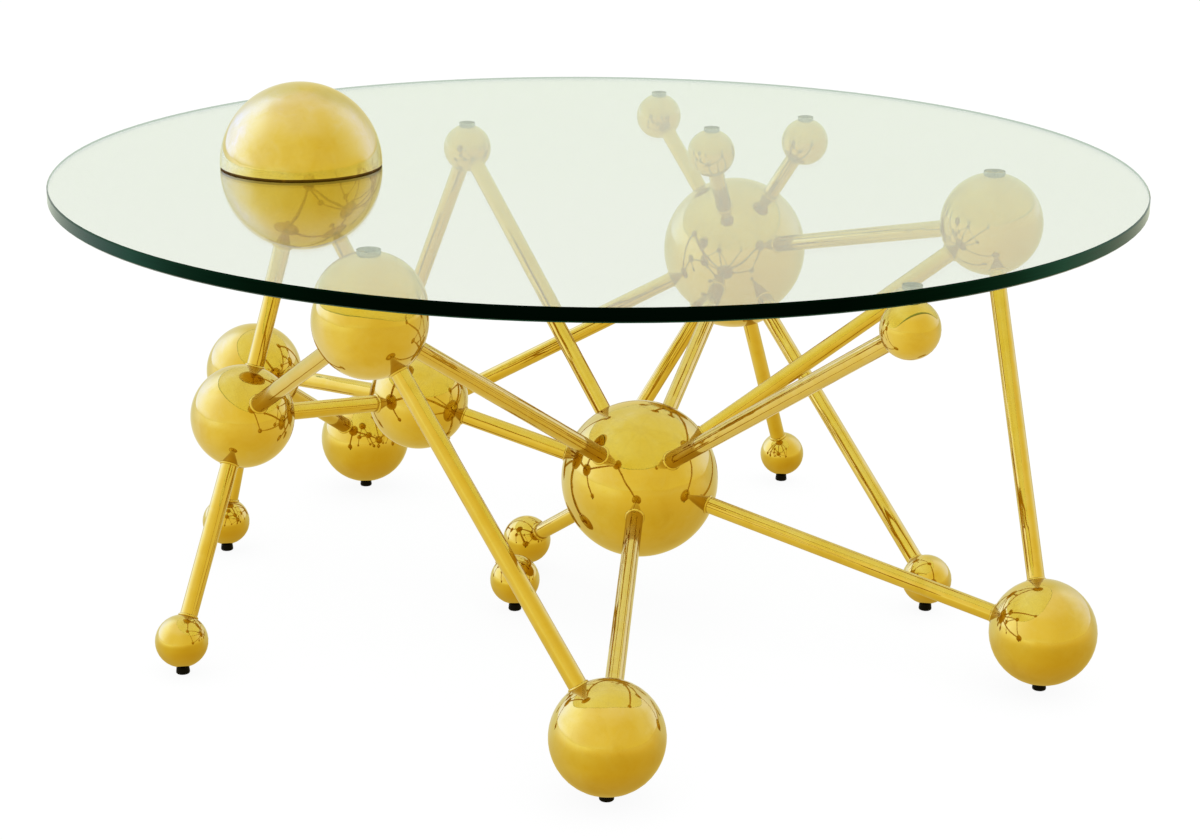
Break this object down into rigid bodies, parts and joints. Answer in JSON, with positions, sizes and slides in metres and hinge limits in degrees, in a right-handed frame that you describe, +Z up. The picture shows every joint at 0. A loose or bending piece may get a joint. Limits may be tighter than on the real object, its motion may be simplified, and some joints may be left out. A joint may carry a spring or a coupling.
{
  "type": "round glass coffee table on a ball-and-rod base",
  "caption": "Low round table: a clear glass disc carried by polished balls joined with straight tubes, one ball split and clamped through the glass.",
  "frame": {"origin": "on the floor, below the centre of the glass disc", "axes": "+Z up; -Y towards the side the camera stood on; +X to the right of that view, so the split ball lies on the -X side"},
  "size_m": [0.9999, 1, 0.5075],
  "materials": {
    "polished_brass": "mirror polished",
    "machined_brass": "as machined",
    "clear_glass": "clear float glass, polished dark green edge",
    "clear_silicone": "clear silicone",
    "black_gasket": "thin sheet",
    "steel_stud": "plain",
    "black_foot": "black coated steel"
  },
  "bodies": {
    "base": {"lower_dome": "polished_brass", "lower_dome_plate": "machined_brass", "lower_gasket": "black_gasket", "dome_stud": "steel_stud", "glass_pads": "clear_silicone", "foot_inserts": "machined_brass", "centre_ball": "polished_brass", "rear_ball": "polished_brass", "front_left_top_ball": "polished_brass", "right_top_ball": "polished_brass", "left_ball": "polished_brass", "left_rear_ball": "polished_brass", "inner_ball": "polished_brass", "medium_floor_balls": "polished_brass", "small_floor_balls": "polished_brass", "small_top_balls": "polished_brass", "rod_split_to_left": "polished_brass", "rod_split_to_inner": "polished_brass", "rod_front_left_top_to_left": "polished_brass", "rod_front_left_top_to_front": "polished_brass", "rod_front_left_top_to_centre": "polished_brass", "rod_left_to_inner": "polished_brass", "rod_left_to_left_front": "polished_brass", "rod_left_rear_to_inner": "polished_brass", "rod_left_rear_to_back_left": "polished_brass", "rod_left_rear_to_left_back": "polished_brass", "rod_inner_to_centre": "polished_brass", "rod_inner_to_inner_front": "polished_brass", "rod_back_left_to_back_left_top": "polished_brass", "rod_back_left_to_rear": "polished_brass", "rod_centre_to_back_left_top": "polished_brass", "rod_centre_to_rear": "polished_brass", "rod_centre_to_right_top": "polished_brass", "rod_centre_to_front_right_top": "polished_brass", "rod_centre_to_front": "polished_brass", "rod_centre_to_right_front": "polished_brass", "rod_centre_to_inner_back": "polished_brass", "rod_rear_to_right_top": "polished_brass", "rod_rear_to_back_top": "polished_brass", "rod_rear_to_middle_top": "polished_brass", "rod_rear_to_back_right_top": "polished_brass", "rod_rear_to_back": "polished_brass", "rod_rear_to_right": "polished_brass", "rod_rear_to_rear_centre": "polished_brass", "rod_right_top_to_right_front": "polished_brass"},
    "glass": {"glass_top": "clear_glass", "glass_bush": "clear_silicone"},
    "dome_seat": {"upper_gasket": "black_gasket"},
    "dome": {"upper_dome": "polished_brass", "upper_dome_plate": "machined_brass"},
    "foot_front": {"foot_front": "black_foot"},
    "foot_right_front": {"foot_right_front": "black_foot"},
    "foot_back_left": {"foot_back_left": "black_foot"},
    "foot_left_front": {"foot_left_front": "black_foot"},
    "foot_left_back": {"foot_left_back": "black_foot"},
    "foot_inner_front": {"foot_inner_front": "black_foot"},
    "foot_inner_back": {"foot_inner_back": "black_foot"},
    "foot_back": {"foot_back": "black_foot"},
    "foot_right": {"foot_right": "black_foot"},
    "foot_rear_centre": {"foot_rear_centre": "black_foot"}
  },
  "joints": [
    {"name": "glass_lift", "type": "slide", "parent": "base", "child": "glass", "axis": [0, 0, 1], "range_m": [0, 0.06]},
    {"name": "dome_rise", "type": "slide", "parent": "glass", "child": "dome_seat", "axis": [0, 0, 1], "range_m": [0, 0.024]},
    {"name": "dome_unscrew", "type": "hinge", "parent": "dome_seat", "child": "dome", "pos_m": [-0.275, -0.001, 0.4325], "axis": [0, 0, 1], "range_deg": [0, 5760]},
    {"name": "foot_front_screw", "type": "slide", "parent": "base", "child": "foot_front", "axis": [0, 0, -1], "range_m": [0, 0.006]},
    {"name": "foot_right_front_screw", "type": "slide", "parent": "base", "child": "foot_right_front", "axis": [0, 0, -1], "range_m": [0, 0.006]},
    {"name": "foot_back_left_screw", "type": "slide", "parent": "base", "child": "foot_back_left", "axis": [0, 0, -1], "range_m": [0, 0.006]},
    {"name": "foot_left_front_screw", "type": "slide", "parent": "base", "child": "foot_left_front", "axis": [0, 0, -1], "range_m": [0, 0.006]},
    {"name": "foot_left_back_screw", "type": "slide", "parent": "base", "child": "foot_left_back", "axis": [0, 0, -1], "range_m": [0, 0.006]},
    {"name": "foot_inner_front_screw", "type": "slide", "parent": "base", "child": "foot_inner_front", "axis": [0, 0, -1], "range_m": [0, 0.006]},
    {"name": "foot_inner_back_screw", "type": "slide", "parent": "base", "child": "foot_inner_back", "axis": [0, 0, -1], "range_m": [0, 0.006]},
    {"name": "foot_back_screw", "type": "slide", "parent": "base", "child": "foot_back", "axis": [0, 0, -1], "range_m": [0, 0.006]},
    {"name": "foot_right_screw", "type": "slide", "parent": "base", "child": "foot_right", "axis": [0, 0, -1], "range_m": [0, 0.006]},
    {"name": "foot_rear_centre_screw", "type": "slide", "parent": "base", "child": "foot_rear_centre", "axis": [0, 0, -1], "range_m": [0, 0.006]}
  ],
  "couplings": [
    {"joint": "dome_rise", "follows": "dome_unscrew", "m_per_rad": 0.00023873}
  ]
}
